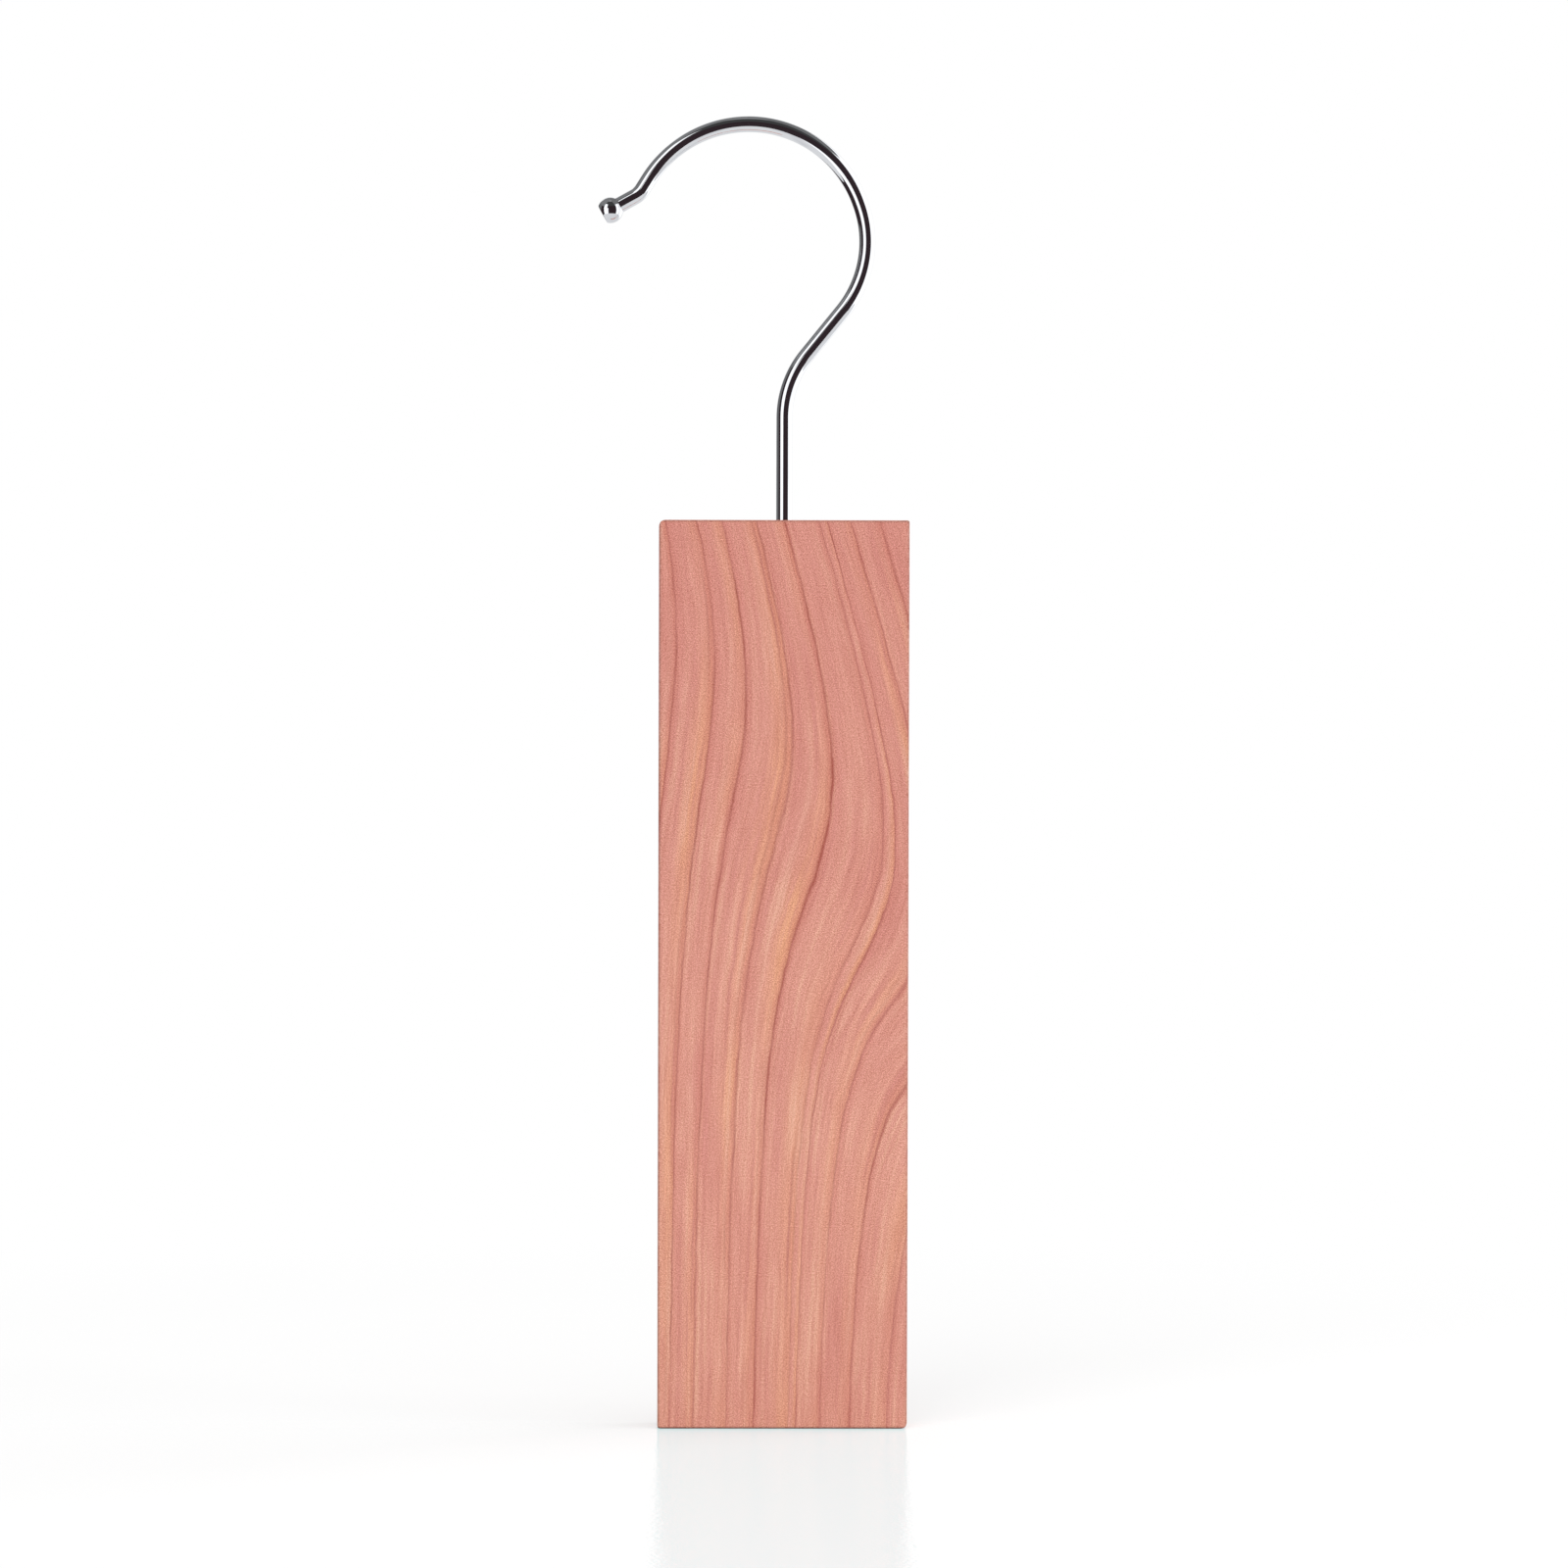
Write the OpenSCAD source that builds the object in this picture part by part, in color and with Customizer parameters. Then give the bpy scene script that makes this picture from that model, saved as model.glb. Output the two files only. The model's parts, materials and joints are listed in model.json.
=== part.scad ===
// Cedar hanger block: a slim board of red cedar on a turning wire hook.
// The origin is at the middle of the block's foot, +Z is up and the front face looks along -Y.
// The hook lies in the XZ plane and its mouth opens towards -X.

/* [Block] */
// Height of the block
block_h = 200; // [120:1:260]
// Width of the block
block_w = 55; // [30:1:90]
// Thickness of the block
block_t = 12; // [10:0.5:25]
// Rounding of the block's corners, seen from the front
corner_r = 0.9; // [0.4:0.1:3]
// Rounding of the block's upright edges, seen from above
edge_r = 0.7; // [0.3:0.1:2.5]
// Rounding of the front and back edges at the two ends, seen from the side
end_r = 0.6; // [0.3:0.1:2.5]

/* [Hook wire] */
// Diameter of the wire
wire_d = 3.5; // [2.5:0.1:4]
// Straight shank above the block, before the first bend
shank_rise = 22.5; // [5:0.5:60]
// Radius of the neck, where the wire leans away from the mouth
neck_r = 22; // [8:0.5:40]
// Angle that the neck turns through
neck_turn = 39; // [10:1:50]
// Straight slope between the neck and the shoulder
slope_len = 12.5; // [2:0.5:25]
// Radius of the shoulder, where the wire comes upright and turns in
shoulder_r = 24; // [12:0.5:35]
// Angle that the shoulder turns through
shoulder_turn = 59; // [20:1:80]
// Straight run between the shoulder and the bow
bridge_len = 0.5; // [0.5:0.5:10]
// Radius of the bow over the rail
bow_r = 26; // [18:0.5:35]
// Angle that the bow turns through
bow_turn = 128; // [100:1:150]
// Straight run from the bow down to the kink
lead_len = 2.5; // [0.5:0.5:10]
// Radius of the kink that turns the tip outwards
kink_r = 5; // [4:0.5:12]
// Angle that the kink turns through
kink_turn = 29; // [5:1:60]
// Straight run from the kink to the middle of the bead
tip_len = 6; // [4:0.5:15]

/* [Formed ends] */
// Diameter of the bead upset on the tip
bead_d = 5.7; // [4.6:0.1:8]
// How far the bead's flat end lies beyond the middle of the bead
bead_flat = 1.95; // [1:0.05:2.2]
// Width of the small chamfer round the bead's flat end
bead_chamfer = 0.15; // [0.1:0.05:0.5]
// Slope of that chamfer, measured from the flat end
bead_slope = 23; // [15:1:35]
// How far the head on the lower end stands out beyond the wire all round
head_lip = 0.8; // [0.5:0.1:1.2]
// Thickness of the head on the lower end
head_h = 1.8; // [1:0.1:3]
// Chamfer on both rims of the head
head_chamfer = 0.3; // [0.1:0.05:0.45]

/* [Swivel sleeve] */
// Wall of the sleeve
sleeve_wall = 1.2; // [0.9:0.1:2]
// Length of the sleeve
sleeve_len = 15; // [13:0.5:25]
// Depth of the sleeve's top rim below the end of the block
sleeve_inset = 0.3; // [0:0.1:1]
// Number of barbs round the sleeve
barb_count = 5; // [2:1:6]
// How far a barb bites into the wood
barb_bite = 0.25; // [0.1:0.05:0.5]
// Length of one barb
barb_pitch = 2; // [1:0.1:2.4]
// Chamfer at the mouths of the sleeve's bore
sleeve_chamfer = 0.3; // [0.1:0.05:0.5]

/* [Fits] */
// Gap all round between the wire and the sleeve it turns in
running_gap = 0.05; // [0.03:0.01:0.1]
// End play between the head and the sleeve
end_play = 0.2; // [0.1:0.05:0.5]
// Depth of the drilled hole below the head
drill_spare = 2; // [0.5:0.5:6]
// Chamfer at the mouth of the drilled hole
mouth_chamfer = 0.4; // [0.1:0.1:1]
// Point angle of the drill
drill_angle = 118; // [90:1:140]

/* [Hidden] */
$fn = 96;

// A cut runs this far past the surface it opens, so that no skin is left
cut_over = 1;
// The straights are this much thinner than the bends and run this far into them, which closes the wire into
// one solid where two round surfaces would otherwise only touch
seam_step = 0.01;
seam_run = 0.1;

// Sleeve and hole
sleeve_bore_d = wire_d + 2 * running_gap;
sleeve_d = sleeve_bore_d + 2 * sleeve_wall;
sleeve_top = block_h - sleeve_inset;
sleeve_foot = sleeve_top - sleeve_len;
barbs_len = barb_count * barb_pitch;
barbs_foot = sleeve_foot + (sleeve_len - barbs_len) / 2;

// Head on the lower end of the wire
head_d = wire_d + 2 * head_lip;
head_top = sleeve_foot - end_play;
head_foot = head_top - head_h;
hole_foot = head_foot - drill_spare;
drill_point = sleeve_d / 2 / tan(drill_angle / 2);

// The wire's bends in order from the head: a straight run, the radius of the bend after it and the angle that
// it turns through, positive towards the mouth
BENDS = [
    [block_h - head_top + shank_rise, neck_r, -neck_turn],
    [slope_len, shoulder_r, shoulder_turn],
    [bridge_len, bow_r, bow_turn],
    [lead_len, kink_r, -kink_turn]
];

// A rectangle with rounded corners about the origin
module rounded_rectangle(size, radius) {
    inner = [size[0] - 2 * radius, size[1] - 2 * radius];
    square([size[0], inner[1]], center = true);
    square([inner[0], size[1]], center = true);
    for (x = [-1, 1], y = [-1, 1])
        translate([x * inner[0] / 2, y * inner[1] / 2])
            circle(r = radius);
}

// The board with all its edges eased, standing on its foot
module eased_board() {
    translate([0, 0, block_h / 2])
        intersection() {
            linear_extrude(block_h, center = true)
                rounded_rectangle([block_w, block_t], edge_r);
            rotate([90, 0, 0])
                linear_extrude(block_t, center = true)
                    rounded_rectangle([block_w, block_h], corner_r);
            rotate([90, 0, 90])
                linear_extrude(block_w, center = true)
                    rounded_rectangle([block_t, block_h], end_r);
        }
}

// The blind hole, as deep as the sleeve and the head need, with the drill's point at its end
module drilled_hole() {
    translate([0, 0, hole_foot])
        cylinder(h = block_h - hole_foot + cut_over, d = sleeve_d);
    translate([0, 0, hole_foot - drill_point])
        cylinder(h = drill_point, d1 = 0, d2 = sleeve_d);
    translate([0, 0, block_h - mouth_chamfer])
        cylinder(h = mouth_chamfer + cut_over, d1 = sleeve_d, d2 = sleeve_d + 2 * (mouth_chamfer + cut_over));
}

module cedar_block() {
    color([0.84, 0.57, 0.49])
        difference() {
            eased_board();
            drilled_hole();
        }
}

// The corners of the barbs' outline, from the lowest up: each widens slowly and steps back at its top
function barb_outline() = [
    for (i = [0 : barb_count - 1], top = [0, 1])
        [sleeve_d / 2 + top * barb_bite, barbs_foot + (i + top) * barb_pitch]
];

module swivel_sleeve() {
    bore_r = sleeve_bore_d / 2;
    wall_r = sleeve_d / 2;
    color([0.72, 0.72, 0.74])
        rotate_extrude()
            polygon(concat(
                [[bore_r + sleeve_chamfer, sleeve_foot], [wall_r - sleeve_chamfer, sleeve_foot]],
                [[wall_r, sleeve_foot + sleeve_chamfer]],
                barb_outline(),
                [[wall_r, barbs_foot + barbs_len], [wall_r, sleeve_top]],
                [[bore_r + sleeve_chamfer, sleeve_top], [bore_r, sleeve_top - sleeve_chamfer]],
                [[bore_r, sleeve_foot + sleeve_chamfer]]
            ));
}

// A bend that starts at the origin going up, and turns towards the mouth, or away from it
module wire_bend(radius, turn) {
    side = sign(turn);
    translate([-side * radius, 0, 0])
        rotate([90, 0, 90 - side * 90])
            rotate_extrude(angle = abs(turn))
                translate([radius, 0])
                    circle(d = wire_d);
}

// A straight stretch of the wire, going up
module wire_run(length) {
    translate([0, 0, -seam_run])
        cylinder(h = length + 2 * seam_run, d = wire_d - seam_step);
}

// The wire from bend i on, drawn in that bend's own frame, with the bead at its end
module bent_wire(i = 0) {
    if (i < len(BENDS)) {
        run = BENDS[i][0];
        radius = BENDS[i][1];
        turn = BENDS[i][2];
        side = sign(turn);
        wire_run(run);
        translate([0, 0, run]) {
            wire_bend(radius, turn);
            translate([-side * radius, 0, 0])
                rotate([0, -turn, 0])
                    translate([side * radius, 0, 0])
                        bent_wire(i + 1);
        }
    } else {
        wire_run(tip_len);
        translate([0, 0, tip_len])
            bead();
    }
}

// The bead that ends the wire: a ball cut flat across, with its rim taken off by a wide cone
module bead() {
    flat_r = sqrt(pow(bead_d / 2, 2) - pow(bead_flat, 2)) - bead_chamfer;
    cone_h = bead_d / 2 + bead_flat;
    intersection() {
        sphere(d = bead_d);
        translate([0, 0, -bead_d / 2])
            cylinder(h = cone_h, r1 = flat_r + cone_h / tan(bead_slope), r2 = flat_r);
    }
}

// The head below the sleeve, its rims taken off
module head() {
    rim_r = head_d / 2 - head_chamfer;
    translate([0, 0, head_foot]) {
        cylinder(h = head_chamfer, r1 = rim_r, r2 = head_d / 2);
        translate([0, 0, head_chamfer])
            cylinder(h = head_h - 2 * head_chamfer, d = head_d);
        translate([0, 0, head_h - head_chamfer])
            cylinder(h = head_chamfer, r1 = head_d / 2, r2 = rim_r);
    }
}

module hook() {
    color([0.8, 0.81, 0.83]) {
        head();
        translate([0, 0, head_top])
            bent_wire();
    }
}

cedar_block();
swivel_sleeve();
hook();
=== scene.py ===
"""Dresses the cedar hanger block: a board of red cedar with hand-eased edges, the chromed wire hook that turns in
its top end, the steel sleeve that holds the hook, and a white table under soft light."""

import json
import math
from types import SimpleNamespace
from typing import NamedTuple

import bmesh
import bpy
from bpy.props import FloatProperty, FloatVectorProperty, PointerProperty
from mathutils import Matrix, Vector, noise

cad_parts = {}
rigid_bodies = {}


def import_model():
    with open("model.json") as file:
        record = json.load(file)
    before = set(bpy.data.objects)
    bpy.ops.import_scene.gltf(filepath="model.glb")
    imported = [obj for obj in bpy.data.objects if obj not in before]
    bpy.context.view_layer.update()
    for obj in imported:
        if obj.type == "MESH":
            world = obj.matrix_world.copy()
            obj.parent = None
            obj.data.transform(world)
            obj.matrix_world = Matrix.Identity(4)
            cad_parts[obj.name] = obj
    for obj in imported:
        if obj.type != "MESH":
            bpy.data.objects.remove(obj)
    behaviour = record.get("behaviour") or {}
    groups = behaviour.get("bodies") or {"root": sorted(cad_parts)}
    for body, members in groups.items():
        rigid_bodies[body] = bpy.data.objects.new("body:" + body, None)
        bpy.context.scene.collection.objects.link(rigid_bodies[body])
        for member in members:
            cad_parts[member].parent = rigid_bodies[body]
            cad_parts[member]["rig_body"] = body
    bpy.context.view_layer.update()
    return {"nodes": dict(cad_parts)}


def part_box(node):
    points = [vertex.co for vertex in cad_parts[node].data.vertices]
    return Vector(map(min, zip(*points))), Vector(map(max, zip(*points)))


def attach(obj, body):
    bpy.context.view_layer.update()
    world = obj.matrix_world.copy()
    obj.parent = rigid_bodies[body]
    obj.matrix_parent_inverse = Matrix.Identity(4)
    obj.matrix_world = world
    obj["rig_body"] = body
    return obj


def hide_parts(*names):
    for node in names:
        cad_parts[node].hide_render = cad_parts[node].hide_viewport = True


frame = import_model()

bl_info = {
    "name": "Cedar hanger block",
    "version": (1, 0, 0),
    "blender": (4, 5, 0),
    "location": "3D View > Sidebar > Hanger block",
    "description": "Makes the board, the sleeve and the wire hook of a cedar hanger block, and its studio",
    "category": "Object",
}

MM = 0.001
BOARD_LOW, BOARD_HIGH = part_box("cedar_block")
HOOK_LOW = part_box("hook")[0]


# Kinds of property

def length(name, description, millimetres):
    """A size, given here in millimetres and kept in metres."""
    return FloatProperty(
        name=name, description=description, default=millimetres * MM, min=0, precision=5, unit="LENGTH"
    )


def angle(name, description, degrees):
    """An angle, given here in degrees and kept in radians."""
    return FloatProperty(
        name=name, description=description, default=math.radians(degrees), unit="ROTATION"
    )


def share(name, description, default):
    """A part of a whole, from 0 to 1."""
    return FloatProperty(name=name, description=description, default=default, min=0, max=1, subtype="FACTOR")


def number(name, description, default):
    """A plain number of 0 or more."""
    return FloatProperty(name=name, description=description, default=default, min=0)


def colour(name, description, red, green, blue):
    """A colour, given here as a screen shows it, from 0 to 255, and kept as linear light."""
    return FloatVectorProperty(
        name=name,
        description=description,
        default=[*(linear(level / 255) for level in (red, green, blue)), 1],
        size=4,
        min=0,
        max=1,
        subtype="COLOR",
    )


def linear(level):
    """Linear light of a level on the screen, from 0 to 1."""
    if level <= 0.04045:
        return level / 12.92
    return ((level + 0.055) / 1.055) ** 2.4


# Sizes and looks that a user would change

class BoardSizes(bpy.types.PropertyGroup):
    """How the board's edges are eased, and the hole in its top end."""

    top_left: length("Top left corner", "Rounding of this corner, seen from the front", 1.4)
    top_right: length("Top right corner", "Rounding of this corner, seen from the front", 0.45)
    bottom_left: length("Bottom left corner", "Rounding of this corner, seen from the front", 0.6)
    bottom_right: length("Bottom right corner", "Rounding of this corner, seen from the front", 1.4)
    upright_edge: length("Upright edges", "Rounding of the long edges", 0.6)
    end_edge: length("End edges", "Rounding of the front and back edges of both ends", 0.5)
    unevenness: share("Unevenness", "How much the easing varies along an edge", 0.3)
    hole_diameter: length("Hole", "Diameter of the drilled hole", 6)
    mouth_chamfer: length("Hole's chamfer", "Chamfer at the mouth of the drilled hole", 0.4)
    hole_spare: length("Hole's spare depth", "Depth of the hole below the hook's head", 2)
    drill_angle: angle("Drill's point", "Point angle of the drill", 118)


class HookSizes(bpy.types.PropertyGroup):
    """The bends of the wire from its foot to its tip, and its two formed ends."""

    wire_diameter: length("Wire", "Diameter of the wire", 3.5)
    neck_run: length("Shank", "Straight stretch from the head's foot to the neck", 39.8)
    neck_radius: length("Neck's radius", "Bend that leans the wire away from the mouth", 22)
    neck_turn: angle("Neck's turn", "Angle of the neck", 39)
    shoulder_run: length("Slope", "Straight stretch between the neck and the shoulder", 12.5)
    shoulder_radius: length("Shoulder's radius", "Bend that brings the wire upright and in", 24)
    shoulder_turn: angle("Shoulder's turn", "Angle of the shoulder", 59)
    bow_run: length("Bridge", "Straight stretch between the shoulder and the bow", 0.5)
    bow_radius: length("Bow's radius", "Bend over the rail", 26)
    bow_turn: angle("Bow's turn", "Angle of the bow", 128)
    kink_run: length("Lead", "Straight stretch between the bow and the kink", 2.5)
    kink_radius: length("Kink's radius", "Bend that turns the tip outwards", 5)
    kink_turn: angle("Kink's turn", "Angle of the kink", 29)
    tip_run: length("Tip", "Straight stretch from the kink to the middle of the bead", 6)
    bead_diameter: length("Bead", "Diameter of the bead on the tip", 5.7)
    bead_flat: length("Bead's flat", "How far its flat end lies beyond its middle", 1.95)
    bead_rim: length("Bead's rim", "Rounding between the bead and its flat end", 0.5)
    bead_root: length("Bead's root", "Width of the fillet where the bead grows out of the wire", 0.25)
    head_lip: length("Head's lip", "How far the head stands out beyond the wire", 0.8)
    head_height: length("Head's height", "Height of the head on the lower end", 1.8)
    head_chamfer: length("Head's chamfer", "Chamfer on both rims of the head", 0.3)


class CedarLook(bpy.types.PropertyGroup):
    """Colours and grain of the cedar."""

    pink: colour("Pink wood", "Plain wood in the middle of a growth ring", 223, 157, 139)
    mauve: colour("Mauve wood", "Redder wood just past a ring's line", 211, 138, 126)
    tan: colour("Tan wood", "Orange wood that leads up to a ring's line", 231, 168, 131)
    pale: colour("Pale wood", "Pale streaks along the grain", 231, 176, 152)
    line: colour("Ring's line", "Thin line of late wood", 174, 92, 80)
    band: colour("Ring's band", "Soft red band that a line runs in", 200, 116, 102)
    end_grain: colour("End grain", "Darker wood of the sawn ends", 182, 112, 92)
    end_share: share("End grain's share", "How much of the end grain's colour the ends take", 0.6)
    # Painted shade along the eased edges: its colour, how far it reaches from an edge and how much of it the edges
    # take
    burnish: colour("Burnished edge", "Wood on the eased edges", 124, 98, 90)
    burnish_width: length("Burnish's width", "How far the burnish reaches from an edge", 0.6)
    burnish_share: share("Burnish's share", "How much of the burnish's colour the edges take", 0.7)
    line_width: length("Line's width", "Width of a ring's line", 0.4)
    ring_slant: number("Ring's slant", "How far a ring shifts sideways for each step towards the back", 0.75)
    swirl_reach: length("Swirl's reach", "How far the grain leans sideways at the top end", 4.2)
    swirl_growth: number("Swirl's growth", "How much the reach grows for each step down", 0.325)
    swirl_run: length("Swirl's run", "Height over which the grain comes back", 23.7)
    swirl_depth: length("Swirl's middle", "Where the grain comes back, below the top end", 57.5)
    swirl_slope: number("Swirl's slope", "How much lower the grain comes back for each step to the right", 1.56)
    fleck: share("Flecks", "Contrast of the fine sanded flecks", 1)
    fibre: share("Fibres", "Contrast of the fibres", 0.6)
    roughness: share("Roughness", "Roughness of the sanded face", 0.72)


class ChromeLook(bpy.types.PropertyGroup):
    """The hook's chrome plate."""

    plate: colour("Plate", "Colour of the chrome", 232, 234, 238)
    haze: colour("Haze", "Colour of the faint haze on it", 214, 216, 222)
    roughness: share("Roughness", "Roughness of the polished plate", 0.05)
    draw_lines: number("Draw lines", "Depth of the lines along the wire, in micrometres", 0.6)


class SteelLook(bpy.types.PropertyGroup):
    """The sleeve's plated steel."""

    plate: colour("Plate", "Colour of the zinc plate", 196, 197, 200)
    # Painted shade in the turned grooves, and the darker tone where the plate is uneven
    shade: colour("Shade", "Colour in its turned grooves", 150, 151, 154)
    roughness: share("Roughness", "Roughness of the plate", 0.34)


class StudioSizes(bpy.types.PropertyGroup):
    """Where the camera and the lamps stand."""

    distance: length("Distance", "From the camera to the hook's axis", 1500)
    azimuth: angle("Azimuth", "How far the camera stands to the right of the front", -0.9)
    height: length("Camera's height", "Height of the camera above the table", 190)
    aim: length("Aim", "Height at which the camera looks", 141.9)
    aside: length("Aim aside", "How far to the right of the hook's axis the camera looks", 0.15)
    roll: angle("Roll", "How far the camera leans", 0.15)
    lens: number("Lens", "Focal length in millimetres on a 36 mm sensor", 156.3)
    key_power: number("Key lamp", "Power of the lamp at the front left, in watts", 93)
    side_power: number("Side lamp", "Power of the lamp at the right, in watts", 221)
    top_power: number("Top lamp", "Power of the lamp overhead, in watts", 104)
    ambient: number("Ambient light", "Strength of the light from all round", 0.47)
    table_radius: length("Table's radius", "Radius of the round white table", 450)
    table_glow: share("Table's glow", "Share of the table's white that shadows don't touch", 0.37)
    table_shade: share("Table's shade", "Share of the light on the table that adds to its white", 0.5)
    table_gloss: share("Table's gloss", "Share of the mirror image at a grazing view", 0.8)
    table_mirror: colour("Mirror image", "What the table in front mirrors of each colour", 255, 176, 170)
    table_mirror_back: colour("Mirror image behind", "What the table behind mirrors of each colour", 196, 164, 160)
    table_mirrored: share("Table in the chrome", "Brightness of the table as the chrome mirrors it", 0.82)


# Node trees

class Link:
    """An output of a node. Sums with it add the Math nodes that work them out."""

    def __init__(self, graph, socket):
        self.graph = graph
        self.socket = socket

    def __add__(self, other):
        return self.graph.maths("ADD", self, other)

    def __sub__(self, other):
        return self.graph.maths("SUBTRACT", self, other)

    def __rsub__(self, other):
        return self.graph.maths("SUBTRACT", other, self)

    def __mul__(self, other):
        return self.graph.maths("MULTIPLY", self, other)

    def __truediv__(self, other):
        return self.graph.maths("DIVIDE", self, other)

    def __rtruediv__(self, other):
        return self.graph.maths("DIVIDE", other, self)

    def __pow__(self, power):
        return self.graph.maths("POWER", self, power)

    __radd__ = __add__
    __rmul__ = __mul__

    def out(self, name):
        """Another output of the same node."""
        return Link(self.graph, self.socket.node.outputs[name])


class Noise(NamedTuple):
    """A kind of noise about 0, mostly within 0.3 of it before its strength."""

    # How many of its cells lie in one unit along each axis
    cells: tuple
    strength: float = 1
    detail: float = 2
    roughness: float = 0.5
    # How far it is shifted along the first axis, in cells
    seed: float = 0


class Graph:
    """A node tree under construction, for a material, the world or a piece's geometry."""

    def __init__(self, tree):
        self.tree = tree
        tree.nodes.clear()

    def node(self, kind, settings=None, inputs=None, output=0):
        """Adds a node: its settings first, then the values or links of its sockets. Returns one of its outputs."""
        made = self.tree.nodes.new(kind)
        for name, value in (settings or {}).items():
            setattr(made, name, value)
        for name, value in (inputs or {}).items():
            if isinstance(value, Link):
                self.tree.links.new(value.socket, made.inputs[name])
            else:
                made.inputs[name].default_value = value
        return Link(self, made.outputs[output]) if len(made.outputs) else None

    def maths(self, operation, *values):
        """One Math node."""
        return self.node("ShaderNodeMath", {"operation": operation}, dict(enumerate(values)))

    def ramp(self, value, start, end, kind="LINEAR"):
        """0 up to start, 1 from end on."""
        return self.node(
            "ShaderNodeMapRange",
            {"interpolation_type": kind},
            {"Value": value, "From Min": start, "From Max": end},
        )

    def vector(self, x, y, z):
        """A vector of three numbers."""
        return self.node("ShaderNodeCombineXYZ", None, {"X": x, "Y": y, "Z": z})

    def noise(self, kind, x, y, z):
        """A noise of that kind at a point."""
        cells_x, cells_y, cells_z = kind.cells
        inputs = {
            "Vector": self.vector(x * cells_x + kind.seed, y * cells_y, z * cells_z),
            "Scale": 1,
            "Detail": kind.detail,
            "Roughness": kind.roughness,
        }
        return (self.node("ShaderNodeTexNoise", None, inputs, "Fac") - 0.5) * kind.strength

    def blend(self, factor, first, second):
        """A colour between two."""
        return self.node("ShaderNodeMix", {"data_type": "RGBA"}, {0: factor, 6: first, 7: second}, 2)

    def scaled(self, vector, factor):
        """A colour or vector times a number."""
        return self.node("ShaderNodeVectorMath", {"operation": "SCALE"}, {0: vector, "Scale": factor})

    def object_place(self):
        """The point on the piece, in millimetres along X, Y and Z."""
        place = self.node("ShaderNodeTexCoord", None, None, "Object")
        parts = self.node("ShaderNodeSeparateXYZ", None, {0: self.scaled(place, 1 / MM)})
        return parts, parts.out("Y"), parts.out("Z")

    def surface(self, finish, bump=None, depth=MM):
        """Ends a material in one Principled BSDF with that finish. Bump is a height in units of depth."""
        if bump is not None:
            finish = {**finish, "Normal": self.node("ShaderNodeBump", None, {"Height": bump, "Distance": depth})}
        shader = self.node("ShaderNodeBsdfPrincipled", None, finish)
        self.node("ShaderNodeOutputMaterial", None, {"Surface": shader})


def new_material(name):
    """A material and the graph of its nodes."""
    material = bpy.data.materials.new(name)
    material.use_nodes = True
    return material, Graph(material.node_tree)


# Cedar

# Where each growth ring's line crosses the front, in millimetres from the middle at the foot, and how dark it is
RINGS = (
    (-46, 0.5),
    (-39.5, 0.6),
    (-34, 0.5),
    (-29, 0.6),
    (-22.4, 0.75),
    (-17.3, 0.7),
    (-10, 0.6),
    (-3.9, 1),
    (3.6, 0.5),
    (5.2, 0.75),
    (10.4, 0.6),
    (16.8, 0.8),
    (24.7, 0.55),
    (31.5, 0.7),
    (38, 0.6),
    (45, 0.5),
)

# How far the grain leans to the left for each step down, and how much lower it comes back for each step inwards
GRAIN_LEAN, BACK_LAG = 0.0125, 0.6

# Noises that bend the rings, with their strength in millimetres. Cells are counted in a millimetre, across, inwards
# and down, here and below
WANDER = Noise((0.06, 0.06, 0.03), 0.6, detail=1)
RIPPLE = Noise((0.25, 0.2, 0.12), 0.8, detail=3, roughness=0.6)

# Noises that give each ring, counted along their first axis, its own mauve, its own tan and its own second line
RING_MAUVE = Noise((3.7, 0.05, 0.012), 3, detail=1, seed=9.4)
RING_TAN = Noise((5.3, 0.05, 0.015), 4, detail=1, seed=9.4)
RING_DOUBLE = Noise((2.9, 0.1, 0.02), seed=4)
MAUVE_MEAN, TAN_MEAN = 0.75, 0.7

# Noises in the colour, along the grain
STREAKS = Noise((0.75, 0.5, 0.02), detail=4, roughness=0.62)
BLOTCHES = Noise((0.09, 0.1, 0.03))
BREAKS = Noise((0.3, 0.3, 0.06), 2.8, detail=3, roughness=0.6)
FIBRES = Noise((3.4, 3.4, 0.1), detail=3, roughness=0.7)

# Noises in the sanded surface
FLECKS = Noise((3, 3, 2.4), detail=1, roughness=0.8)
GRIT = Noise((6.5, 6.5, 5), 2, detail=0)
SAW_MARKS = Noise((0.15, 2.6, 0), detail=1)

# Parts of a ring's width: where the mauve wood past a line ends, and where the tan wood starts and is full
MAUVE_END, TAN_START, TAN_FULL = 0.42, 0.4, 0.85
# Levels of a noise between which its colour comes in, and how much of it
STREAK_START, STREAK_FULL, STREAK_SHARE = 0.02, 0.17, 0.9
BLOTCH_START, BLOTCH_FULL, BLOTCH_SHARE = -0.02, 0.2, 0.6
DOUBLE_START, DOUBLE_FULL, DOUBLE_SHARE = -0.05, 0.25, 0.5
# Depths in millimetres between which the colour changes, and how much: the rings grow calmer downwards, the top end
# turns mauver and darker, and the foot browner and darker
CALM, MAUVE_TOP, BROWN_FOOT = (60, 170, 0.55), (110, 0, 0.62), (140, 200, 0.17)

# How dark a line is where nothing breaks it, and the share of that which fades where the rings grow calm
LINE_MEAN, LINE_CALM = 0.85, 0.4
# In widths of a line: how far its second line and the middle of its band lie from it, and how far the band reaches.
# Then how strong the band is
SECOND_GAP, BAND_GAP, BAND_REACH, BAND_SHARE = 2.2, 0.8, 3.2, 0.5

# Distances from an end, in millimetres, between which the end grain comes in
END_START, END_FULL = 0.7, 0.1
# How much the fibres and flecks change red, green and blue
STAIN = (0.55, 1, 1.15)
SAW_STAIN = 0.3
# Heights of the surface's fibres, flecks, saw marks and lines, in millimetres
FIBRE_HEIGHT, FLECK_HEIGHT, SAW_HEIGHT, LINE_HEIGHT = 0.04, 0.05, 0.08, 0.01
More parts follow.
